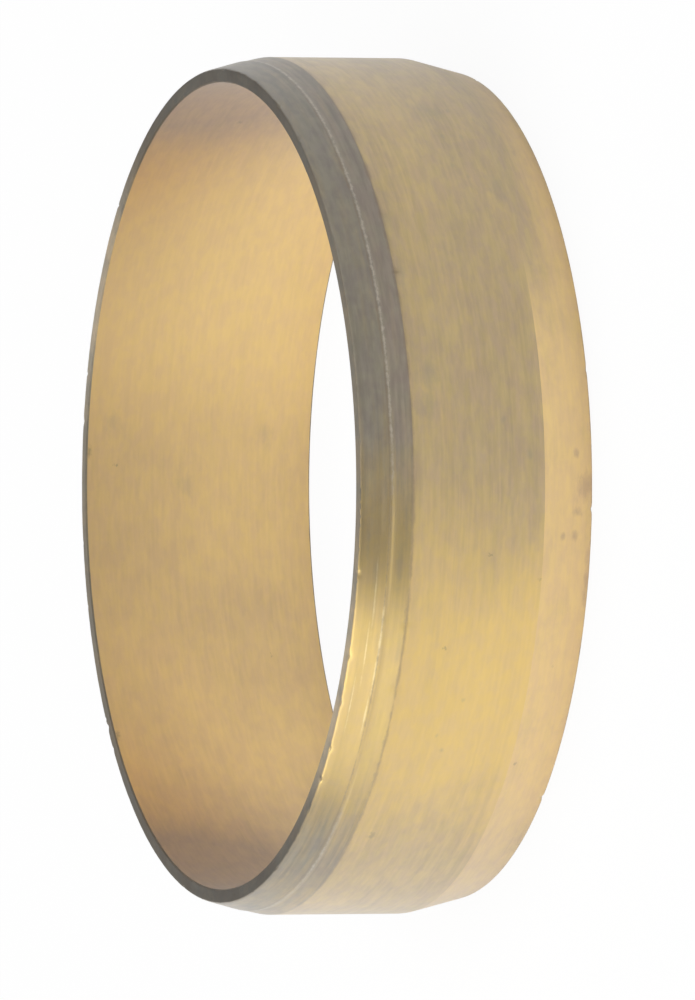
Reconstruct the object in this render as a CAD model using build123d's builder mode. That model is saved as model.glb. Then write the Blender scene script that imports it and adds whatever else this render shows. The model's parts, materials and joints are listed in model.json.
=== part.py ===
from build123d import *
from math import radians, tan
import os

os.makedirs("parts", exist_ok=True)

# Compression ring for a 28 mm pipe, turned from brass tube as one piece
# All sizes are in millimetres
# The ring stands on its plain end at z = 0, with its bore along Z and its seat end on top

# Bore and wall
pipe_diameter = 28.0
pipe_gap = 0.1  # radial play that lets the ring slide along the pipe before it is squeezed
wall = 0.9
ring_length = 8.5

# Seat end, on top: two tool passes with a narrow land left between them
lead_angle = 15.0
lead_length = 1.06
step_width = 0.1
back_angle = 12.5
back_length = 0.62

# Plain end, below: a single bevel
plain_angle = 14.0
plain_length = 1.92

# Edges
bore_break = 0.05
rim_round = 0.05
shoulder_round = 0.6

# Radii, from the bore outwards
bore_radius = pipe_diameter / 2 + pipe_gap
outer_radius = bore_radius + wall
step_radius = outer_radius - back_length * tan(radians(back_angle))
seat_rim_radius = step_radius - lead_length * tan(radians(lead_angle))
plain_rim_radius = outer_radius - plain_length * tan(radians(plain_angle))

# Heights above the plain end
lead_base = ring_length - lead_length
step_base = lead_base - step_width
seat_shoulder = step_base - back_length
plain_shoulder = plain_length


# Compression ring: one half section, turned once round the pipe's axis
with BuildPart() as compression_ring:
    with BuildSketch(Plane.XZ) as section:
        with BuildLine():
            Polyline(
                (bore_radius, 0),
                (plain_rim_radius, 0),
                (outer_radius, plain_shoulder),
                (outer_radius, seat_shoulder),
                (step_radius, step_base),
                (step_radius, lead_base),
                (seat_rim_radius, ring_length),
                (bore_radius, ring_length),
                close=True,
            )
        make_face()

        # The bore's mouths are broken with a small flat, so that the ring starts on the pipe
        bore_corners = section.vertices().group_by(Axis.X)[0]
        chamfer(bore_corners, length=bore_break)

        # Both rims are eased, and the two shoulders blend softly into the wide land
        end_corners = section.vertices().group_by(Axis.Y)[0] + section.vertices().group_by(Axis.Y)[-1]
        rim_corners = end_corners.filter_by(lambda corner: corner.X > bore_radius + 2 * bore_break)
        fillet(rim_corners, radius=rim_round)
        shoulder_corners = section.vertices().group_by(Axis.X)[-1]
        fillet(shoulder_corners, radius=shoulder_round)
    revolve(axis=Axis.Z)

compression_ring.part.label = "compression_ring"
export_step(compression_ring.part, "parts/compression_ring.step")

land_length = seat_shoulder - plain_shoulder
print("bore diameter", round(2 * bore_radius, 3))
print("outer diameter", round(2 * outer_radius, 3), "over a land", round(land_length, 3), "long")
print("end walls", round(seat_rim_radius - bore_radius, 3), round(plain_rim_radius - bore_radius, 3))
print("volume", round(compression_ring.part.volume, 2))
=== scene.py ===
# %% [markdown]
# A compression ring of turned brass
#
# The object is the thin brass band that a compression fitting squeezes on to a pipe.
# It is one piece of metal, so this lesson models one ring, and most of the work is in
# the shape of its edges, the marks that the lathe left and the tarnish on them.
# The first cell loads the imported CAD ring, which fixes the size and the place.

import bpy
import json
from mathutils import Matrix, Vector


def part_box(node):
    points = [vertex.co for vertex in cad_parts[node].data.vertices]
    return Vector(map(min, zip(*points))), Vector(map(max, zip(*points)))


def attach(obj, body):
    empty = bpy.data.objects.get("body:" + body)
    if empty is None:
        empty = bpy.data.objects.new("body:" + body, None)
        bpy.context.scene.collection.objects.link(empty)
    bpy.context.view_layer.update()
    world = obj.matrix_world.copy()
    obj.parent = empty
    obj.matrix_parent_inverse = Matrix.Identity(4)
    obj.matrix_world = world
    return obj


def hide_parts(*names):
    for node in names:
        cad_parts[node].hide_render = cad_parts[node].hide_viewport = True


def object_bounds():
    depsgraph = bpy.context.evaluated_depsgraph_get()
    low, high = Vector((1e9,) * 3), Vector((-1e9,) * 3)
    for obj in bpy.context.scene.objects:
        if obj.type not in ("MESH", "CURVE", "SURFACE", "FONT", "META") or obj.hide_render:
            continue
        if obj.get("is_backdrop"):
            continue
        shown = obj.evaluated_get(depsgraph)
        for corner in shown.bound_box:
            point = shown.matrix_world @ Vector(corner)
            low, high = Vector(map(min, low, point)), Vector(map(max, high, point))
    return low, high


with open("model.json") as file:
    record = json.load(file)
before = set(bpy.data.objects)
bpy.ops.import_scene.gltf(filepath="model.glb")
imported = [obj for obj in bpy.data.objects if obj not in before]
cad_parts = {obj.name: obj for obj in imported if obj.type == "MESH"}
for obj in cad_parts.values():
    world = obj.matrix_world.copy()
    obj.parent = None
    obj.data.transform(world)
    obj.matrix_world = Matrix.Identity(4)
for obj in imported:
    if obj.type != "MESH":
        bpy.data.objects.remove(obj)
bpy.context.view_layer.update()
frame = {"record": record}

# %% [markdown]
# Sizes of the ring
#
# Blender works in metres here, and the ring is only 30 mm across, so a name for one
# millimetre keeps the numbers readable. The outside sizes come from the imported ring
# and the bore from its mount. The cutter's angles and lengths are the ring's own.

# %% Sizes
import json
from math import atan2, cos, pi, radians, sin, tan
from random import Random

import bpy
from mathutils import Matrix, Vector

mm = 0.001
mounts = {mount["name"]: mount for mount in frame["record"]["mounts"]}
ring_low, ring_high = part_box("compression_ring")
ring_length = ring_high.z - ring_low.z
outer_radius = (ring_high.x - ring_low.x) / 2
bore_radius = mounts["bore"]["dims"]["r_mm"] * mm

lead_angle = radians(15)
lead_length = 1.06 * mm
step_width = 0.1 * mm
back_angle = radians(12.5)
back_length = 0.62 * mm
plain_angle = radians(14)
plain_length = 1.92 * mm

lead_base = ring_length - lead_length
step_base = lead_base - step_width
seat_shoulder = step_base - back_length
step_radius = outer_radius - back_length * tan(back_angle)
seat_rim_radius = step_radius - lead_length * tan(lead_angle)
plain_rim_radius = outer_radius - plain_length * tan(plain_angle)
print("ring", round(2 * outer_radius / mm, 2), "mm across and", round(ring_length / mm, 2), "mm long")

# %% [markdown]
# The camera
#
# The photograph looks down on the standing ring at about 20 degrees through a long
# lens, and the picture is turned a quarter, so that the ring seems to stand on its
# edge. Up in the picture is the ring's +X, and left in it is the ring's +Z. The lens
# follows from how many pixels the ring's radius takes at the camera's distance.

# %% Camera
photo_width = 695
photo_height = 1000
radius_in_pixels = 428.2
centre_in_pixels = (332.1, 485.9)
camera_elevation = radians(19.96)
camera_distance = 0.6
sensor = 36.0

ring_centre = Vector((0, 0, ring_length / 2))
pixel = outer_radius / radius_in_pixels
back = Vector((0, -cos(camera_elevation), sin(camera_elevation)))
picture_up = Vector((1, 0, 0))
picture_right = picture_up.cross(back)
aside = (photo_width / 2 - centre_in_pixels[0]) * pixel
above = (centre_in_pixels[1] - photo_height / 2) * pixel

turn = Matrix((picture_right, picture_up, back)).transposed().to_euler()
place = ring_centre + back * camera_distance + picture_right * aside + picture_up * above
bpy.ops.object.camera_add(location=place, rotation=turn)
camera = bpy.context.object
camera.name = "camera"
camera.data.sensor_width = sensor
camera.data.lens = sensor * camera_distance / (pixel * photo_height)
camera.data.clip_start = 0.05
camera.data.clip_end = 20
bpy.context.scene.camera = camera
print("lens", round(camera.data.lens, 1), "mm at", camera_distance, "m")

# %% [markdown]
# The floor
#
# Metal shows what surrounds it. The wide land of this ring looks down at the white
# sheet it stands on, and the seat bevel looks out over the sheet's edge at the dim
# room. The sheet is made as a white floor that keeps the ring's shadow. To the camera
# it glows white everywhere, and in reflections it gives way to the room beyond a
# hand's width, as a small sheet on a table would.

# %% A small node kit


def put(tree, socket, value):
    """Links an output to the socket, or writes a plain number, vector or colour there."""
    if isinstance(value, bpy.types.NodeSocket):
        tree.links.new(value, socket)
    else:
        socket.default_value = value


def sum_of(tree, operation, *values, clamp=False):
    """Adds one Math node and returns its result."""
    node = tree.nodes.new("ShaderNodeMath")
    node.operation = operation
    node.use_clamp = clamp
    for socket, value in zip(node.inputs, values):
        put(tree, socket, value)
    return node.outputs[0]


def vector_of(tree, operation, *values):
    """Adds one Vector Math node and returns its vector."""
    node = tree.nodes.new("ShaderNodeVectorMath")
    node.operation = operation
    for socket, value in zip(node.inputs, values):
        put(tree, socket, value)
    return node.outputs["Vector"]


def length_of(tree, vector):
    """Adds one Vector Math node and returns the vector's length."""
    node = tree.nodes.new("ShaderNodeVectorMath")
    node.operation = "LENGTH"
    put(tree, node.inputs[0], vector)
    return node.outputs["Value"]


def ramp_of(tree, value, low, high):
    """Turns a value into a mask that rises softly from 0 at low to 1 at high."""
    node = tree.nodes.new("ShaderNodeMapRange")
    node.interpolation_type = "SMOOTHSTEP"
    put(tree, node.inputs["Value"], value)
    put(tree, node.inputs["From Min"], low)
    put(tree, node.inputs["From Max"], high)
    return node.outputs["Result"]


# %% Floor
floor_size = 8.0
floor_white = 0.9
camera_glow = 0.94
sheet_glow = 0.45
sheet_edge = (40 * mm, 110 * mm)
room_grey = 0.1

bpy.ops.mesh.primitive_plane_add(size=floor_size, location=(0, 0, 0))
floor = bpy.context.object
floor.name = "floor"
floor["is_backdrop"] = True

sheet = bpy.data.materials.new("white sheet")
sheet.use_nodes = True
tree = sheet.node_tree
tree.nodes.clear()
ray = tree.nodes.new("ShaderNodeLightPath")
place = tree.nodes.new("ShaderNodeTexCoord").outputs["Object"]
paper = tree.nodes.new("ShaderNodeBsdfDiffuse")
paper.inputs["Color"].default_value = (floor_white, floor_white, floor_white, 1)
glow = tree.nodes.new("ShaderNodeEmission")
dim_room = tree.nodes.new("ShaderNodeEmission")
dim_room.inputs["Color"].default_value = (room_grey, room_grey, room_grey, 1)
to_camera = sum_of(tree, "MULTIPLY", ray.outputs["Is Camera Ray"], camera_glow)
glow_share = sum_of(tree, "MULTIPLY_ADD", ray.outputs["Is Glossy Ray"], sheet_glow, to_camera)
beyond_sheet = ramp_of(tree, length_of(tree, place), sheet_edge[0], sheet_edge[1])
room_share = sum_of(tree, "MULTIPLY", ray.outputs["Is Glossy Ray"], beyond_sheet)
white_part = tree.nodes.new("ShaderNodeMixShader")
whole_floor = tree.nodes.new("ShaderNodeMixShader")
surface = tree.nodes.new("ShaderNodeOutputMaterial")
put(tree, white_part.inputs["Fac"], glow_share)
put(tree, white_part.inputs[1], paper.outputs[0])
put(tree, white_part.inputs[2], glow.outputs[0])
put(tree, whole_floor.inputs["Fac"], room_share)
put(tree, whole_floor.inputs[1], white_part.outputs[0])
put(tree, whole_floor.inputs[2], dim_room.outputs[0])
put(tree, surface.inputs["Surface"], whole_floor.outputs[0])
floor.data.materials.append(sheet)
print("white sheet out to", sheet_edge[0] / mm, "mm, gone by", sheet_edge[1] / mm, "mm")

# %% [markdown]
# The room and its lamps
#
# The room is dim at the height of the ring and lighter overhead. One large soft panel
# low on the left gives the bright stretch that crosses land and bevels alike, and a
# panel overhead lights the sheet. The overhead one isn't seen in the metal, because
# the thin chamfers at the bore's mouths are dark on the real ring.

# %% Room
overhead_grey = 0.6
overhead_from = (0.5, 1.0)

world = bpy.data.worlds.new("room")
bpy.context.scene.world = world
world.use_nodes = True
tree = world.node_tree
tree.nodes.clear()
ray = tree.nodes.new("ShaderNodeLightPath")
direction = tree.nodes.new("ShaderNodeSeparateXYZ")
put(tree, direction.inputs[0], tree.nodes.new("ShaderNodeTexCoord").outputs["Generated"])
overhead = ramp_of(tree, direction.outputs["Z"], overhead_from[0], overhead_from[1])
room = tree.nodes.new("ShaderNodeBackground")
put(tree, room.inputs["Strength"], sum_of(tree, "MULTIPLY_ADD", overhead, overhead_grey - room_grey, room_grey))
backdrop = tree.nodes.new("ShaderNodeBackground")
backdrop.inputs["Color"].default_value = (1, 1, 1, 1)
room.inputs["Color"].default_value = (1, 1, 1, 1)
both = tree.nodes.new("ShaderNodeMixShader")
surface = tree.nodes.new("ShaderNodeOutputWorld")
put(tree, both.inputs["Fac"], ray.outputs["Is Camera Ray"])
put(tree, both.inputs[1], room.outputs[0])
put(tree, both.inputs[2], backdrop.outputs[0])
put(tree, surface.inputs["Surface"], both.outputs[0])

# %% Lamps


def soft_lamp(name, azimuth, elevation, distance, wide, high, radiance):
    """A panel that faces the ring; azimuth is counted from the camera's side, towards +X."""
    away = Vector((sin(azimuth) * cos(elevation), -cos(azimuth) * cos(elevation), sin(elevation)))
    aim = away.to_track_quat("Z", "Y").to_euler()
    bpy.ops.object.light_add(type="AREA", location=ring_centre + away * distance, rotation=aim)
    lamp = bpy.context.object
    lamp.name = name
    lamp.data.shape = "RECTANGLE"
    lamp.data.size = wide
    lamp.data.size_y = high
    lamp.data.energy = radiance * pi * wide * high
    lamp.visible_camera = False
    print(name, round(lamp.data.energy, 2), "W")
    return lamp


soft_lamp("side panel", radians(-62), radians(30), 0.5, 0.54, 0.36, 2.3)
overhead_panel = soft_lamp("overhead panel", radians(0), radians(90), 0.9, 0.8, 0.8, 2.4)
overhead_panel.visible_glossy = False
bpy.context.scene.view_settings.view_transform = "Standard"

# %% [markdown]
# The ring's form
#
# On the real ring a cutter ran along the outline while the metal turned. The mesh is
# made the same way: a circle of points starts at the bore's lower mouth, and it is
# lifted and widened along the outline, one stretch after another, until it comes
# back to where it began. Spinning a drawn section would give the same form, but this
# way each stretch gets as many rows of faces as its detail needs.

# %% Walk a circle along the outline
around = 900
outline = (
    ("plain end", plain_rim_radius, 0.0, 4),
    ("plain bevel", outer_radius, plain_length, 12),
    ("land", outer_radius, seat_shoulder, 16),
    ("back cone", step_radius, step_base, 8),
    ("step", step_radius, lead_base, 2),
    ("lead cone", seat_rim_radius, ring_length, 12),
    ("seat end", bore_radius, ring_length, 4),
    ("bore", bore_radius, 0.0, 14),
)

bpy.ops.object.select_all(action="DESELECT")
bpy.ops.mesh.primitive_circle_add(vertices=around, radius=bore_radius, fill_type="NOTHING")
ring = bpy.context.object
ring.name = "brass_ring"
bpy.ops.object.mode_set(mode="EDIT")
bpy.ops.mesh.select_all(action="SELECT")
start_radius, start_height = bore_radius, 0.0
radius, height = start_radius, start_height
for stretch, end_radius, end_height, rows in outline:
    for row in range(1, rows + 1):
        share = row / rows
        next_radius = start_radius + (end_radius - start_radius) * share
        next_height = start_height + (end_height - start_height) * share
        bpy.ops.mesh.extrude_region_move(TRANSFORM_OT_translate={"value": (0, 0, next_height - height)})
        widen = next_radius / radius
        bpy.ops.transform.resize(value=(widen, widen, 1), center_override=(0, 0, 0))
        radius, height = next_radius, next_height
    start_radius, start_height = end_radius, end_height
bpy.ops.mesh.select_all(action="SELECT")
bpy.ops.mesh.remove_doubles(threshold=0.001 * mm)
bpy.ops.mesh.normals_make_consistent(inside=False)
bpy.ops.object.mode_set(mode="OBJECT")
print("ring mesh", len(ring.data.vertices), "points", len(ring.data.polygons), "faces")

# %% [markdown]
# Edges
#
# No machined edge is perfectly sharp. The corners between the stretches are found by
# their radius and height, and bevelled a little: a flat at the mouths of the bore,
# soft rounds at the rims and at the two shoulders of the land.

# %% Break and round the corners
near = 0.004 * mm


def select_edges_at(radius, height):
    """Selects the edges that run round the ring at one radius and height."""
    bpy.ops.object.mode_set(mode="EDIT")
    bpy.ops.mesh.select_mode(type="EDGE")
    bpy.ops.mesh.select_all(action="DESELECT")
    bpy.ops.object.mode_set(mode="OBJECT")
    points = ring.data.vertices
    on_circle = [
        abs(Vector((p.co.x, p.co.y)).length - radius) < near and abs(p.co.z - height) < near for p in points
    ]
    found = 0
    for edge in ring.data.edges:
        edge.select = on_circle[edge.vertices[0]] and on_circle[edge.vertices[1]]
        found += edge.select
    bpy.ops.object.mode_set(mode="EDIT")
    return found


corners = (
    ("lower mouth of the bore", bore_radius, 0.0, 0.05 * mm, 1),
    ("plain rim", plain_rim_radius, 0.0, 0.05 * mm, 3),
    ("plain shoulder", outer_radius, plain_length, 0.07 * mm, 2),
    ("seat shoulder", outer_radius, seat_shoulder, 0.05 * mm, 2),
    ("foot of the step", step_radius, step_base, 0.02 * mm, 1),
    ("top of the step", step_radius, lead_base, 0.02 * mm, 1),
    ("seat rim", seat_rim_radius, ring_length, 0.05 * mm, 3),
    ("upper mouth of the bore", bore_radius, ring_length, 0.05 * mm, 1),
)
for corner, radius, height, width, steps in corners:
    count = select_edges_at(radius, height)
    bpy.ops.mesh.bevel(offset=width, segments=steps, affect="EDGES")
    print(corner, count, "edges")
bpy.ops.object.mode_set(mode="OBJECT")
bpy.ops.object.shade_smooth_by_angle(angle=radians(30))
print("ring mesh", sum(len(f.vertices) - 2 for f in ring.data.polygons), "triangles")

# %% [markdown]
# Burrs and nicks
#
# The rim at the seat end was rubbed and knocked: it is wavy by a few hundredths of a
# millimetre, and small nicks break both rims and the shoulder of the seat bevel. The
# waviness is a Displace modifier that only pushes inwards, limited to the rims by a
# vertex group. A nick is one point at the edge that is pushed in and down, and takes
# its neighbours along by proportional editing.

# %% Wavy rims
rims = ring.vertex_groups.new(name="rims")
rim_reach = 0.11 * mm
for point in ring.data.vertices:
    radius = Vector((point.co.x, point.co.y)).length
    at_seat = Vector((radius - seat_rim_radius, point.co.z - ring_length)).length
    at_plain = Vector((radius - plain_rim_radius, point.co.z)).length
    share = max(1 - at_seat / rim_reach, 0.5 * (1 - at_plain / rim_reach))
    if share > 0:
        rims.add([point.index], share, "REPLACE")
waves = bpy.data.textures.new("burr", "CLOUDS")
waves.noise_scale = 0.35 * mm
waves.noise_depth = 3
burr = ring.modifiers.new("burr", "DISPLACE")
burr.texture = waves
burr.texture_coords = "LOCAL"
burr.mid_level = 1.0
burr.strength = 0.014 * mm
burr.vertex_group = "rims"
bpy.ops.object.modifier_apply(modifier="burr")
print("wavy rims", len(ring.data.vertices), "points")

# %% Nicks
draw = Random(28)
bpy.ops.object.mode_set(mode="EDIT")
bpy.ops.mesh.select_mode(type="VERT")
bpy.ops.mesh.select_all(action="DESELECT")


def nick(angle, radius, height, depth, reach):
    """Pushes the point nearest to a place inwards by a depth, with its neighbours within a reach."""
    spot = Vector((radius * sin(angle), -radius * cos(angle), height))
    bpy.ops.object.mode_set(mode="OBJECT")
    nearest = min(ring.data.vertices, key=lambda point: (point.co - spot).length_squared)
    nearest.select = True
    push = -nearest.normal * depth
    bpy.ops.object.mode_set(mode="EDIT")
    bpy.ops.transform.translate(
        value=push,
        use_proportional_edit=True,
        use_proportional_connected=True,
        proportional_edit_falloff="SHARP",
        proportional_size=reach,
    )
    bpy.ops.mesh.select_all(action="DESELECT")


rim_nicks = [-65.1, -50.6, -44.0, -38.5, -31.0, -23.5, -12.0, 6.0, 27.0, 164.0, 171.0, 188.0, 197.0]
rim_nicks += [draw.uniform(205, 290) for _ in range(5)] + [draw.uniform(40, 155) for _ in range(6)]
for degrees_round in rim_nicks:
    deep = draw.uniform(0.03, 0.07) * mm
    nick(radians(degrees_round), seat_rim_radius, ring_length, deep, draw.uniform(0.09, 0.20) * mm)
for degrees_round in [-40.0, -27.5, -18.5, 29.2, 37.9] + [draw.uniform(60, 300) for _ in range(7)]:
    deep = draw.uniform(0.02, 0.045) * mm
    nick(radians(degrees_round), outer_radius, seat_shoulder, deep, draw.uniform(0.16, 0.34) * mm)
for degrees_round in [-3.0, 16.0, -48.0] + [draw.uniform(60, 300) for _ in range(6)]:
    deep = draw.uniform(0.03, 0.07) * mm
    nick(radians(degrees_round), plain_rim_radius, 0.0, deep, draw.uniform(0.12, 0.24) * mm)
bpy.ops.object.mode_set(mode="OBJECT")
nicked_low, nicked_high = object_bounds()
print("box with nicks", [round(v / mm, 3) for v in nicked_low], [round(v / mm, 3) for v in nicked_high])

# %% [markdown]
# An unrolled map
#
# Finishes kept as pictures need a flat map of the surface. Each half of the ring is
# unrolled into a strip: the way round goes across the map and the way along the
# outline goes up it, so that lines stay straight and there are only two long seams.

# %% Unroll the ring
margin = 0.004
strip = 0.5 - 2 * margin
bore_way = ring_length
seat_way = bore_way + seat_rim_radius - bore_radius
lead_way = seat_way + lead_length / cos(lead_angle)
step_way = lead_way + step_width
back_way = step_way + back_length / cos(back_angle)
land_way = back_way + seat_shoulder - plain_length
plain_way = land_way + plain_length / cos(plain_angle)
whole_way = plain_way + plain_rim_radius - bore_radius


def way_along(radius, height, outward, level):
    """How far a point lies along the outline, from the bore's lower mouth up and round."""
    if level > 0.5 and height > ring_length / 2:
        return bore_way + radius - bore_radius
    if level > 0.5:
        return plain_way + plain_rim_radius - radius
    if not outward:
        return height
    if height > lead_base:
        return lead_way - (height - lead_base) / cos(lead_angle)
    if height > seat_shoulder:
        return back_way - (height - seat_shoulder) / cos(back_angle)
    if height > plain_length:
        return land_way - (height - plain_length)
    return plain_way - height / cos(plain_angle)


unrolled_map = ring.data.uv_layers.new(name="OFBake")
for face in ring.data.polygons:
    x, y, z = face.center
    outward = face.normal.x * x + face.normal.y * y > 0
    level = abs(face.normal.z)
    middle = atan2(x, -y) % (2 * pi)
    half = int(middle > pi)
    for corner in face.loop_indices:
        place = ring.data.vertices[ring.data.loops[corner].vertex_index].co
        turn = atan2(place.x, -place.y) % (2 * pi)
        turn += 2 * pi * round((middle - turn) / (2 * pi))
        across = (turn - half * pi) / pi
        way = way_along(Vector((place.x, place.y)).length, place.z, outward, level)
        up = half * 0.5 + margin + strip * min(max(way / whole_way, 0), 1)
        unrolled_map.data[corner].uv = (margin + (1 - 2 * margin) * across, up)
print("outline", round(whole_way / mm, 2), "mm long, unrolled in two strips")

# %% [markdown]
# Where a point lies on the ring
#
# Every mark on a turned ring is easiest to place by its angle round the ring and its
# height above the plain end. Angles are counted from the side that faces the camera,
# towards +X. The patterns read the same two facts: a turning mark is long round the
# ring and thin across it, so its noise is stretched along the circumference.

# %% Shader groups for places
place_type = "NodeSocketVector"
value_type = "NodeSocketFloat"
colour_type = "NodeSocketColor"


def new_group(name, inputs, outputs):
    """Makes a shader node group with named sockets; returns it with its input and output nodes."""
    group = bpy.data.node_groups.new(name, "ShaderNodeTree")
    for socket_name, socket_type, value in inputs:
        socket = group.interface.new_socket(name=socket_name, in_out="INPUT", socket_type=socket_type)
        if value is not None:
            socket.default_value = value
    for socket_name, socket_type in outputs:
        group.interface.new_socket(name=socket_name, in_out="OUTPUT", socket_type=socket_type)
    return group, group.nodes.new("NodeGroupInput").outputs, group.nodes.new("NodeGroupOutput").inputs


def use_group(tree, group, **values):
    """Places a group in a tree; a word's capital and spaces are left out of its keyword."""
    node = tree.nodes.new("ShaderNodeGroup")
    node.node_tree = group
    for word, value in values.items():
        put(tree, node.inputs[word.replace("_", " ").title()], value)
    return node.outputs


def noise_of(tree, vector, detail, roughness):
    """Adds one Noise Texture at a scale of 1 and returns its grey value."""
    node = tree.nodes.new("ShaderNodeTexNoise")
    put(tree, node.inputs["Vector"], vector)
    node.inputs["Scale"].default_value = 1
    node.inputs["Detail"].default_value = detail
    node.inputs["Roughness"].default_value = roughness
    return node.outputs["Fac"]


def mix_of(tree, share, first, second):
    """Mixes two colours and returns the result."""
    node = tree.nodes.new("ShaderNodeMix")
    node.data_type = "RGBA"
    put(tree, node.inputs[0], share)
    put(tree, node.inputs[6], first)
    put(tree, node.inputs[7], second)
    return node.outputs[2]


ring_place, given, made = new_group(
    "ring place",
    [("Object Place", place_type, None)],
    [("Angle", value_type), ("Height", value_type), ("Radius", value_type)],
)
parts = ring_place.nodes.new("ShaderNodeSeparateXYZ")
put(ring_place, parts.inputs[0], given["Object Place"])
towards_camera = sum_of(ring_place, "MULTIPLY", parts.outputs["Y"], -1.0)
turned = sum_of(ring_place, "ARCTAN2", parts.outputs["X"], towards_camera)
flat = vector_of(ring_place, "MULTIPLY", given["Object Place"], (1, 1, 0))
put(ring_place, made["Angle"], sum_of(ring_place, "DEGREES", turned))
put(ring_place, made["Height"], sum_of(ring_place, "DIVIDE", parts.outputs["Z"], mm))
put(ring_place, made["Radius"], sum_of(ring_place, "DIVIDE", length_of(ring_place, flat), mm))

# %% [markdown]
# Turning marks
#
# A cutting edge leaves fine lines that run right round, and later rubbing leaves short
# dashes along them. Both come from noise whose coordinates are unrolled: the direction
# from the axis gives the way round, and height plus radius gives the way along the
# outline, so that the same group works on the cylinder, on the cones and on the ends.

# %% Group: turning marks


def unrolled(tree, place, along, across):
    """Noise coordinates with one feature per `along` mm round the ring and per `across` mm over it."""
    flat = vector_of(tree, "MULTIPLY", place, (1, 1, 0))
    outward = vector_of(tree, "NORMALIZE", flat)
    turns = sum_of(tree, "DIVIDE", outer_radius / mm, along)
    spread = tree.nodes.new("ShaderNodeVectorMath")
    spread.operation = "SCALE"
    put(tree, spread.inputs[0], outward)
    put(tree, spread.inputs["Scale"], turns)
    height = tree.nodes.new("ShaderNodeSeparateXYZ")
    put(tree, height.inputs[0], place)
    path = sum_of(tree, "ADD", height.outputs["Z"], length_of(tree, flat))
    steps = sum_of(tree, "DIVIDE", sum_of(tree, "DIVIDE", path, mm), across)
    lift = tree.nodes.new("ShaderNodeCombineXYZ")
    put(tree, lift.inputs["Z"], steps)
    return vector_of(tree, "ADD", spread.outputs[0], lift.outputs[0])


turning_marks, given, made = new_group(
    "turning marks",
    [
        ("Object Place", place_type, None),
        ("Line Length", value_type, 14.0),
        ("Line Width", value_type, 0.12),
        ("Dash Length", value_type, 0.9),
        ("Dash Width", value_type, 0.13),
    ],
    [("Lines", value_type), ("Dashes", value_type), ("Relief", value_type)],
)
line_place = unrolled(turning_marks, given["Object Place"], given["Line Length"], given["Line Width"])
dash_place = unrolled(turning_marks, given["Object Place"], given["Dash Length"], given["Dash Width"])
line_noise = noise_of(turning_marks, line_place, 3, 0.6)
patch_place = unrolled(turning_marks, given["Object Place"], 7.0, 1.3)
patch = ramp_of(turning_marks, noise_of(turning_marks, patch_place, 2, 0.5), 0.35, 0.65)
dash_noise = noise_of(turning_marks, dash_place, 2, 0.55)
clear_lines = sum_of(turning_marks, "SUBTRACT", 1.0, ramp_of(turning_marks, line_noise, 0.3, 0.7))
put(turning_marks, made["Lines"], sum_of(turning_marks, "SUBTRACT", 1.0, sum_of(turning_marks, "MULTIPLY", clear_lines, patch)))
put(turning_marks, made["Dashes"], ramp_of(turning_marks, dash_noise, 0.3, 0.7))
put(turning_marks, made["Relief"], noise_of(turning_marks, line_place, 1, 0.5))

# %% [markdown]
# Tarnish, specks and single marks
#
# Handled brass dulls in clouds with ragged rims, and carries small dark specks. Both
# are groups with a size in millimetres. A third group draws one soft, ragged mark at
# a given angle and height, for the marks that can be picked out in the photo.

# %% Group: tarnish clouds
tarnish_clouds, given, made = new_group(
    "tarnish clouds",
    [
        ("Object Place", place_type, None),
        ("Cloud Size", value_type, 4.0),
        ("Cover", value_type, 0.5),
        ("Rim", value_type, 0.12),
    ],
    [("Mask", value_type), ("Mottle", value_type)],
)
in_mm = vector_of(tarnish_clouds, "MULTIPLY", given["Object Place"], (1 / mm, 1 / mm, 1 / mm))
cloud_place = tarnish_clouds.nodes.new("ShaderNodeVectorMath")
cloud_place.operation = "SCALE"
put(tarnish_clouds, cloud_place.inputs[0], in_mm)
put(tarnish_clouds, cloud_place.inputs["Scale"], sum_of(tarnish_clouds, "DIVIDE", 1.0, given["Cloud Size"]))
cloud = noise_of(tarnish_clouds, cloud_place.outputs[0], 6, 0.62)
middle = sum_of(tarnish_clouds, "SUBTRACT", 1.0, given["Cover"])
start = sum_of(tarnish_clouds, "SUBTRACT", middle, given["Rim"])
end = sum_of(tarnish_clouds, "ADD", middle, given["Rim"])
put(tarnish_clouds, made["Mask"], ramp_of(tarnish_clouds, cloud, start, end))
mottle_place = unrolled(tarnish_clouds, given["Object Place"], 0.75, 0.42)
put(tarnish_clouds, made["Mottle"], ramp_of(tarnish_clouds, noise_of(tarnish_clouds, mottle_place, 4, 0.6), 0.32, 0.68))

# %% Group: specks
specks, given, made = new_group(
    "specks",
    [
        ("Object Place", place_type, None),
        ("Gap", value_type, 0.7),
        ("Share", value_type, 0.2),
    ],
    [("Mask", value_type)],
)
speck_place = unrolled(specks, given["Object Place"], given["Gap"], given["Gap"])
cells = specks.nodes.new("ShaderNodeTexVoronoi")
cells.inputs["Scale"].default_value = 1
put(specks, cells.inputs["Vector"], speck_place)
luck = specks.nodes.new("ShaderNodeSeparateColor")
put(specks, luck.inputs[0], cells.outputs["Color"])
chosen = sum_of(specks, "LESS_THAN", luck.outputs["Red"], given["Share"])
speck_size = sum_of(specks, "MULTIPLY_ADD", luck.outputs["Green"], 0.16, 0.09)
speck_wobble = noise_of(specks, unrolled(specks, given["Object Place"], 0.12, 0.09), 3, 0.7)
speck_reach = sum_of(specks, "MULTIPLY_ADD", speck_wobble, 0.5, cells.outputs["Distance"])
speck_edge = sum_of(specks, "ADD", speck_size, 0.2)
speck_shape = ramp_of(specks, speck_reach, speck_edge, sum_of(specks, "SUBTRACT", speck_edge, 0.12))
put(specks, made["Mask"], sum_of(specks, "MULTIPLY", speck_shape, chosen))

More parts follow.
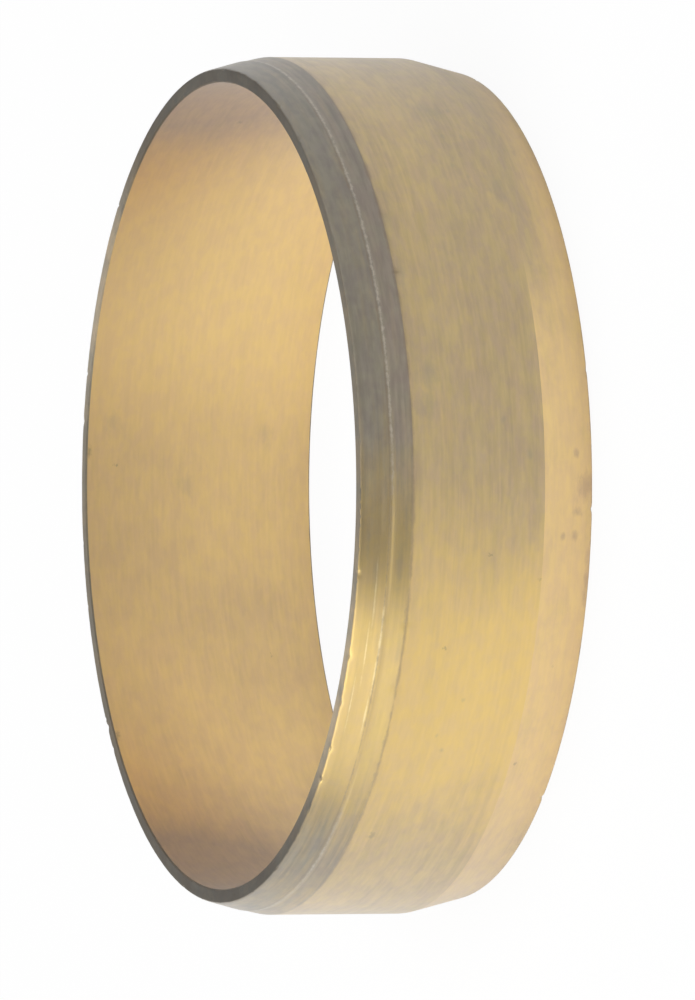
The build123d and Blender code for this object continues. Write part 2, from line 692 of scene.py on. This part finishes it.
# %% Group: one mark
one_mark, given, made = new_group(
    "one mark",
    [
        ("Angle", value_type, 0.0),
        ("Height", value_type, 0.0),
        ("Ragged", value_type, 0.5),
        ("At Angle", value_type, 0.0),
        ("At Height", value_type, 0.0),
        ("Half Length", value_type, 0.2),
        ("Half Width", value_type, 0.2),
    ],
    [("Mask", value_type)],
)
mm_per_degree = outer_radius / mm * pi / 180
turn_off = sum_of(one_mark, "WRAP", sum_of(one_mark, "SUBTRACT", given["Angle"], given["At Angle"]), 180.0, -180.0)
aside = sum_of(one_mark, "DIVIDE", sum_of(one_mark, "MULTIPLY", turn_off, mm_per_degree), given["Half Length"])
rise = sum_of(one_mark, "SUBTRACT", given["Height"], given["At Height"])
above = sum_of(one_mark, "DIVIDE", rise, given["Half Width"])
far = sum_of(one_mark, "ADD", sum_of(one_mark, "MULTIPLY", aside, aside), sum_of(one_mark, "MULTIPLY", above, above))
shaken = sum_of(one_mark, "MULTIPLY_ADD", given["Ragged"], 3.4, sum_of(one_mark, "SQRT", far))
put(one_mark, made["Mask"], ramp_of(one_mark, shaken, 3.2, 1.6))
print("groups", [group.name for group in bpy.data.node_groups])

# %% [markdown]
# The brass finishes
#
# All faces are the same brass, but each was cut and has aged in its own way, so each
# gets its own material from one recipe: clean metal with a slight drift of yellow and
# pink, fine turning lines, tarnish that is greyer, rougher and less metallic, dark
# specks, and the single marks. Where a face's tarnish is placed by angle round the
# ring, it is partly real tarnish and partly painted shade on the side turned from the
# lamp's bright stretch. Lines that run round the ring spread a reflection across
# them, which is what the anisotropy and its radial tangent are for.

# %% Recipe for one finish
dark_spot = (0.13, 0.09, 0.055, 1)
grey_smudge = (0.30, 0.275, 0.22, 1)
red_smudge = (0.44, 0.29, 0.21, 1)
# Pale yellow painted glint for scratches in the lamp's bright stretch.
scratch_glint = (0.97, 0.80, 0.42, 1)
# Painted highlight colour for the rounded top of the tool's step.
pale_step_highlight = (0.66, 0.58, 0.46, 1)
# Colour of the dark lines round the ring; the one beside the tool's step is painted shade.
brown_line = (0.30, 0.20, 0.11, 1)


def marks_of(tree, where, ragged, marks):
    """Draws a list of single marks and returns the mask of them all."""
    mask = 0.0
    for angle, height, half_length, half_width in marks:
        shape = use_group(
            tree,
            one_mark,
            angle=where["Angle"],
            height=where["Height"],
            ragged=ragged,
            at_angle=angle,
            at_height=height,
            half_length=half_length,
            half_width=half_width,
        )
        mask = sum_of(tree, "MAXIMUM", shape["Mask"], mask)
    return mask


def line_round(tree, where, ragged, height, half_width):
    """A thin broken line that runs round the ring at one height."""
    off = sum_of(tree, "ABSOLUTE", sum_of(tree, "SUBTRACT", where["Height"], height))
    shaken = sum_of(tree, "MULTIPLY_ADD", ragged, -3.2 * half_width, off)
    return ramp_of(tree, shaken, -0.6 * half_width, -2.0 * half_width)


def brass_finish(name, look, region=None, spots=(), smudges=(), glinting_scratches=(), dark_lines=(), step_highlights=()):
    """Builds one brass material; region(tree, where, cloud) may say where the tarnish lies, which is partly painted
    shade.
    """
    material = bpy.data.materials.new(name)
    material.use_nodes = True
    tree = material.node_tree
    shader = tree.nodes["Principled BSDF"]
    place = tree.nodes.new("ShaderNodeTexCoord").outputs["Object"]
    where = use_group(tree, ring_place, object_place=place)
    lines = use_group(tree, turning_marks, object_place=place, line_width=look["line_width"])
    clouds = use_group(
        tree,
        tarnish_clouds,
        object_place=place,
        cloud_size=look["cloud_size"],
        cover=look["cover"],
        rim=look["cloud_rim"],
    )
    dust = use_group(tree, specks, object_place=place, gap=look["speck_gap"], share=look["speck_share"])
    streak_place = unrolled(tree, place, look["streak_length"], look["streak_width"])
    streak = sum_of(tree, "SUBTRACT", noise_of(tree, streak_place, 4, 0.6), 0.5)
    # A region's mask is partly real tarnish and partly painted shade on the side turned from the lamp; without a region
    # it is the tarnish clouds alone.
    tarnish_and_shade = region(tree, where, clouds["Mask"], streak) if region else clouds["Mask"]

    metal = mix_of(tree, clouds["Mottle"], look["yellow"], look["pink"])
    dull = mix_of(tree, clouds["Mottle"], look["olive"], look["grey"])
    groove_share = sum_of(tree, "MULTIPLY_ADD", tarnish_and_shade, 0.65, 0.35)
    groove = sum_of(tree, "MULTIPLY", sum_of(tree, "SUBTRACT", 1.0, lines["Lines"]), look["line_contrast"])
    dash = sum_of(tree, "MULTIPLY", sum_of(tree, "SUBTRACT", 1.0, lines["Dashes"]), look["dash_contrast"])
    darker = sum_of(tree, "MULTIPLY", sum_of(tree, "ADD", groove, dash), groove_share)
    shade = tree.nodes.new("ShaderNodeVectorMath")
    shade.operation = "SCALE"
    put(tree, shade.inputs["Scale"], sum_of(tree, "SUBTRACT", 1.0, darker))
    put(tree, shade.inputs[0], mix_of(tree, tarnish_and_shade, metal, dull))
    colour = shade.outputs[0]
    ragged = noise_of(tree, unrolled(tree, place, 0.22, 0.16), 3, 0.7)
    wavy = noise_of(tree, unrolled(tree, place, 0.7, 0.3), 5, 0.7)
    # Pale lines at the given heights are painted highlight: the rounded top of the tool's step catching the light,
    # stronger where the tarnish and shade mask is high.
    for height, half_width in step_highlights:
        step_highlight_share = sum_of(tree, "MULTIPLY_ADD", tarnish_and_shade, 0.75, 0.1)
        step_highlight_line = line_round(tree, where, ragged, height / mm, half_width)
        colour = mix_of(tree, sum_of(tree, "MULTIPLY", step_highlight_line, step_highlight_share), colour, pale_step_highlight)
    # Dark brown lines round the ring at the given heights. The one just above the tool's step on the seat bevel is
    # painted shade.
    dark_line_mask = 0.0
    for height, half_width in dark_lines:
        dark_line_mask = sum_of(tree, "MAXIMUM", line_round(tree, where, wavy, height / mm, half_width), dark_line_mask)
    if dark_lines:
        dark_line_mask = sum_of(tree, "MULTIPLY", dark_line_mask, look["dark_line_strength"])
        colour = mix_of(tree, dark_line_mask, colour, brown_line)
    if smudges:
        smudge_mask = sum_of(tree, "MULTIPLY", marks_of(tree, where, wavy, smudges), look["smudge_strength"])
        colour = mix_of(tree, smudge_mask, colour, look["smudge"])
    # The scratches are real marks; their pale yellow colour is painted glint from the lamp's bright stretch.
    if glinting_scratches:
        scratch_glint_mask = sum_of(tree, "MULTIPLY", marks_of(tree, where, wavy, glinting_scratches), 0.7)
        colour = mix_of(tree, scratch_glint_mask, colour, scratch_glint)
    spot_mask = dust["Mask"]
    if spots:
        spot_mask = sum_of(tree, "MAXIMUM", marks_of(tree, where, ragged, spots), spot_mask)
    spot_mask = sum_of(tree, "MULTIPLY", spot_mask, look["spot_strength"])
    colour = mix_of(tree, spot_mask, colour, dark_spot)
    put(tree, shader.inputs["Base Color"], colour)

    oxide = sum_of(tree, "MULTIPLY", tarnish_and_shade, look["oxide"])
    covered = sum_of(tree, "MAXIMUM", oxide, sum_of(tree, "MAXIMUM", spot_mask, dark_line_mask))
    put(tree, shader.inputs["Metallic"], sum_of(tree, "SUBTRACT", look["metallic"], covered, clamp=True))
    rough = sum_of(tree, "MULTIPLY_ADD", tarnish_and_shade, look["tarnish_roughness"], look["roughness"])
    put(tree, shader.inputs["Roughness"], sum_of(tree, "MULTIPLY_ADD", lines["Dashes"], -0.03, rough))
    shader.inputs["Anisotropic"].default_value = look["anisotropy"]
    shader.inputs["Anisotropic Rotation"].default_value = 0.25
    shader.inputs["Sheen Weight"].default_value = look["veil"]
    shader.inputs["Sheen Roughness"].default_value = 0.7
    tangent = tree.nodes.new("ShaderNodeTangent")
    tangent.direction_type = "RADIAL"
    tangent.axis = "Z"
    put(tree, shader.inputs["Tangent"], tangent.outputs[0])

    bump = tree.nodes.new("ShaderNodeBump")
    bump.inputs["Strength"].default_value = 1
    bump.inputs["Distance"].default_value = look["relief"] * mm
    put(tree, bump.inputs["Height"], lines["Relief"])
    put(tree, shader.inputs["Normal"], bump.outputs[0])
    ring.data.materials.append(material)
    print(name, len(tree.nodes), "nodes")
    return material


# %% [markdown]
# The wide land
#
# The land was turned, then handled. Its lower half has an olive grey tarnish on the
# side that faces the camera, which ends raggedly towards the bright stretch; the grey
# is partly real tarnish and partly painted shade on the side turned from the lamp.

# %% Land
land_look = {
    "yellow": (0.838, 0.59, 0.195, 1),
    "pink": (0.80, 0.562, 0.225, 1),
    "olive": (0.62, 0.475, 0.225, 1),
    "grey": (0.57, 0.42, 0.25, 1),
    "line_width": 0.17,
    "line_contrast": 0.11,
    "dash_contrast": 0.08,
    "cloud_size": 3.0,
    "cover": 0.42,
    "cloud_rim": 0.2,
    "streak_length": 5.0,
    "streak_width": 0.3,
    "speck_gap": 0.8,
    "speck_share": 0.06,
    "spot_strength": 0.4,
    "smudge": grey_smudge,
    "smudge_strength": 0.25,
    "dark_line_strength": 0.6,
    "oxide": 0.22,
    "metallic": 1.0,
    "roughness": 0.33,
    "tarnish_roughness": 0.10,
    "anisotropy": 0.6,
    "veil": 0.4,
    "relief": 0.0015,
}


def grey_side(tree, angle, middle, edge, full):
    """A mask that is 1 round a middle angle and fades between `full` and `edge` degrees from it."""
    off = sum_of(tree, "WRAP", sum_of(tree, "SUBTRACT", angle, middle), 180.0, -180.0)
    return ramp_of(tree, sum_of(tree, "ABSOLUTE", off), edge, full)


def land_tarnish_and_shade(tree, where, cloud, streak):
    """Tarnish, partly painted shade, on the side from the camera round to +X, with a second patch towards -X."""
    side = grey_side(tree, where["Angle"], 68.0, 96.0, 62.0)
    bottom = grey_side(tree, where["Angle"], -100.0, 66.0, 40.0)
    low = ramp_of(tree, where["Height"], 5.6, 3.6)
    spread = sum_of(tree, "MAXIMUM", side, sum_of(tree, "MULTIPLY", bottom, 0.85))
    thick = sum_of(tree, "MULTIPLY", spread, sum_of(tree, "MULTIPLY_ADD", low, 0.12, 0.72))
    lifted = sum_of(tree, "MULTIPLY_ADD", cloud, 0.24, thick)
    return ramp_of(tree, sum_of(tree, "MULTIPLY_ADD", streak, 0.45, lifted), 0.05, 1.05)


land = brass_finish(
    "brass land",
    land_look,
    land_tarnish_and_shade,
    dark_lines=((seat_shoulder, 0.09),),
    spots=((-53.6, 6.04, 0.19, 0.13),),
    smudges=(
        (59.9, 2.71, 0.14, 0.10),
        (57.5, 1.94, 0.12, 0.09),
        (53.8, 3.42, 0.12, 0.10),
        (53.4, 2.72, 0.15, 0.10),
        (47.4, 3.49, 0.14, 0.11),
        (45.3, 3.09, 0.14, 0.10),
        (8.6, 3.38, 0.14, 0.11),
        (4.2, 2.44, 0.16, 0.13),
        (-29.4, 4.19, 0.10, 0.10),
        (-35.0, 4.89, 0.11, 0.08),
        (-37.3, 4.57, 0.10, 0.09),
        (59.8, 3.53, 0.55, 0.5),
        (43.7, 2.07, 0.45, 0.35),
        (41.5, 1.95, 0.4, 0.3),
        (29.2, 6.56, 0.5, 0.24),
        (37.9, 6.61, 0.45, 0.2),
        (14.6, 5.92, 0.5, 0.4),
        (10.5, 6.12, 0.5, 0.4),
    ),
)

# %% [markdown]
# The seat bevel
#
# Two passes of the tool cut this bevel. It is the face with the most tarnish, nearly
# slate grey towards +X, where the grey is partly painted shade, and in the bright
# stretch it has fresh scratches whose pale colour is painted glint.

# %% Seat bevel
bevel_look = dict(
    land_look,
    yellow=(0.785, 0.56, 0.185, 1),
    pink=(0.745, 0.53, 0.21, 1),
    streak_length=4.0,
    streak_width=0.22,
    roughness=0.39,
    speck_share=0.03,
    olive=(0.39, 0.34, 0.235, 1),
    grey=(0.34, 0.285, 0.22, 1),
    line_width=0.12,
    line_contrast=0.30,
    dash_contrast=0.14,
    cloud_size=1.6,
    cover=0.45,
    spot_strength=0.7,
    oxide=0.45,
    tarnish_roughness=0.2,
    veil=0.5,
)


step_middle = (step_base + lead_base) / 2


def bevel_tarnish_and_shade(tree, where, cloud, streak):
    """Tarnish and painted shade, thick towards +X and thin in the bright stretch."""
    side = grey_side(tree, where["Angle"], 80.0, 94.0, 66.0)
    far_side = grey_side(tree, where["Angle"], -100.0, 60.0, 42.0)
    spread = sum_of(tree, "MAXIMUM", side, sum_of(tree, "MULTIPLY", far_side, 0.72))
    lifted = sum_of(tree, "MULTIPLY_ADD", spread, 0.9, sum_of(tree, "MULTIPLY", cloud, 0.15))
    return ramp_of(tree, sum_of(tree, "MULTIPLY_ADD", streak, 0.9, lifted), 0.1, 1.05)


seat_bevel = brass_finish(
    "brass seat bevel",
    bevel_look,
    bevel_tarnish_and_shade,
    smudges=((-18.1, 7.50, 0.2, 0.14), (-12.0, 7.9, 0.6, 0.08), (-8.0, 8.2, 0.8, 0.06)),
    # The second line, just above the step, is painted shade beside the step's painted highlight.
    dark_lines=((ring_length, 0.05), (lead_base + 0.08 * mm, 0.05)),
    step_highlights=((lead_base, 0.075),),
    glinting_scratches=(
        (-20.5, 7.52, 1.3, 0.04),
        (-25.5, 7.55, 0.9, 0.035),
        (-32.1, 7.60, 0.8, 0.03),
        (-14.0, 7.85, 1.2, 0.03),
        (-22.5, 7.95, 1.0, 0.03),
        (-30.5, 8.15, 0.8, 0.03),
    ),
)
back_look = dict(
    bevel_look,
    yellow=(0.83, 0.60, 0.20, 1),
    pink=(0.79, 0.565, 0.225, 1),
    olive=(0.42, 0.355, 0.25, 1),
    grey=(0.40, 0.315, 0.24, 1),
)
back_cone = brass_finish(
    "brass back cone",
    back_look,
    bevel_tarnish_and_shade,
    smudges=((-22.1, 6.85, 0.5, 0.10), (-10.0, 7.1, 1.0, 0.12), (-4.0, 6.95, 1.2, 0.10)),
    step_highlights=((lead_base, 0.075),),
    dark_lines=((seat_shoulder, 0.09),),
)

# %% [markdown]
# The plain bevel
#
# The bevel at the other end has kept its gold, and has one grey blotch at its rim.

# %% Plain bevel
plain_look = dict(
    land_look,
    yellow=(0.86, 0.617, 0.26, 1),
    pink=(0.81, 0.57, 0.28, 1),
    smudge=red_smudge,
    smudge_strength=0.5,
    roughness=0.36,
    cover=0.36,
    cloud_size=2.4,
    line_contrast=0.06,
    dash_contrast=0.07,
)


def plain_tarnish_and_shade(tree, where, cloud, streak):
    """A little tarnish and painted shade away from the bright stretch."""
    bottom = grey_side(tree, where["Angle"], -100.0, 60.0, 36.0)
    top = grey_side(tree, where["Angle"], 110.0, 90.0, 30.0)
    spread = sum_of(tree, "MULTIPLY", sum_of(tree, "MAXIMUM", bottom, top), 0.4)
    beside_land = ramp_of(tree, where["Height"], 0.3, 1.75)
    spilt = sum_of(tree, "MULTIPLY", grey_side(tree, where["Angle"], 80.0, 64.0, 44.0), beside_land)
    spread = sum_of(tree, "MULTIPLY_ADD", spilt, 0.85, sum_of(tree, "MULTIPLY_ADD", streak, 0.3, spread))
    return sum_of(tree, "MULTIPLY_ADD", cloud, 0.4, spread, clamp=True)


plain_bevel = brass_finish(
    "brass plain bevel",
    plain_look,
    plain_tarnish_and_shade,
    smudges=(
        (-0.2, 0.25, 0.45, 0.36),
        (-6.7, 0.70, 0.20, 0.13),
        (-6.7, 1.15, 0.12, 0.09),
        (-3.6, 0.60, 0.16, 0.20),
        (4.4, 0.63, 0.14, 0.10),
        (-13.0, 0.10, 0.9, 0.10),
    ),
    dark_lines=((0.0, 0.06),),
)

# %% [markdown]
# The bore and the ends
#
# The bore is smooth and browner towards the mouths and its two sides, a brown that is
# partly tarnish and partly painted shade, and it is kept clean as painted highlight
# where its reflection is brightest. The ends are narrow, dull and slate grey, and a
# brown line runs round the bore at each mouth.

# %% Bore and ends
bore_look = dict(
    land_look,
    yellow=(0.90, 0.64, 0.25, 1),
    pink=(0.86, 0.60, 0.27, 1),
    olive=(0.54, 0.405, 0.255, 1),
    grey=(0.50, 0.365, 0.265, 1),
    smudge_strength=0.14,
    line_contrast=0.08,
    dash_contrast=0.08,
    cloud_size=5.0,
    cover=0.40,
    cloud_rim=0.25,
    speck_share=0.03,
    roughness=0.36,
    relief=0.0004,
)


def bore_tarnish_and_shade(tree, where, cloud, streak):
    """Tarnish and painted shade that grow towards the two sides of the bore, most of all near the seat end, cleared
    where the bore's reflection is brightest.
    """
    side = ramp_of(tree, sum_of(tree, "ABSOLUTE", where["Angle"]), 138.0, 100.0)
    up = ramp_of(tree, where["Height"], 1.0, 8.0)
    near_mouth = sum_of(tree, "MULTIPLY", side, sum_of(tree, "MULTIPLY_ADD", up, 0.5, 0.5))
    # The sector round 147 degrees is kept clear as painted highlight, where the bore's reflection is brightest.
    bright = grey_side(tree, where["Angle"], 147.0, 34.0, 12.0)
    cloudy = sum_of(tree, "MULTIPLY_ADD", streak, 0.2, sum_of(tree, "MULTIPLY", cloud, 0.25))
    dulled = sum_of(tree, "ADD", cloudy, sum_of(tree, "MULTIPLY_ADD", near_mouth, 1.5, 0.08))
    return sum_of(tree, "MULTIPLY", dulled, sum_of(tree, "MULTIPLY_ADD", bright, -0.9, 1.0), clamp=True)


bore_finish = brass_finish(
    "brass bore",
    bore_look,
    bore_tarnish_and_shade,
    dark_lines=((ring_length, 0.07), (0.0, 0.07)),
    spots=((114.4, 5.61, 0.12, 0.08), (175.1, 8.40, 0.25, 0.10), (219.0, 8.4, 0.2, 0.1)),
    smudges=((170.7, 7.55, 0.5, 0.3), (172.6, 1.72, 0.5, 0.3), (179.9, 4.72, 0.45, 0.35), (252.8, 6.75, 0.6, 0.9)),
)
end_look = dict(
    land_look,
    yellow=(0.66, 0.53, 0.34, 1),
    pink=(0.58, 0.46, 0.31, 1),
    olive=(0.42, 0.37, 0.27, 1),
    grey=(0.36, 0.32, 0.25, 1),
    cover=0.5,
    cloud_size=1.6,
    oxide=0.15,
    speck_gap=0.4,
    roughness=0.56,
    tarnish_roughness=0.06,
    anisotropy=0.95,
    veil=0.2,
)
end_finish = brass_finish("brass ends", end_look)

# %% Give each face its finish
finish_names = [material.name for material in ring.data.materials]
counts = dict.fromkeys(finish_names, 0)
flat_face = 0.8
for face in ring.data.polygons:
    x, y, z = face.center
    outward = face.normal.x * x + face.normal.y * y > 0
    level = abs(face.normal.z)
    if level > flat_face or not outward and level > 0.2:
        finish = "brass ends"
    elif not outward:
        finish = "brass bore"
    elif z > step_middle:
        finish = "brass seat bevel"
    elif z > seat_shoulder:
        finish = "brass back cone"
    elif z < plain_length:
        finish = "brass plain bevel"
    else:
        finish = "brass land"
    face.material_index = finish_names.index(finish)
    counts[finish] += 1
print("faces", counts)

# %% [markdown]
# Hand over
#
# The finished mesh stands for the CAD ring and rides on the only body.

# %% Hand over
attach(ring, "root")
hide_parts("compression_ring")
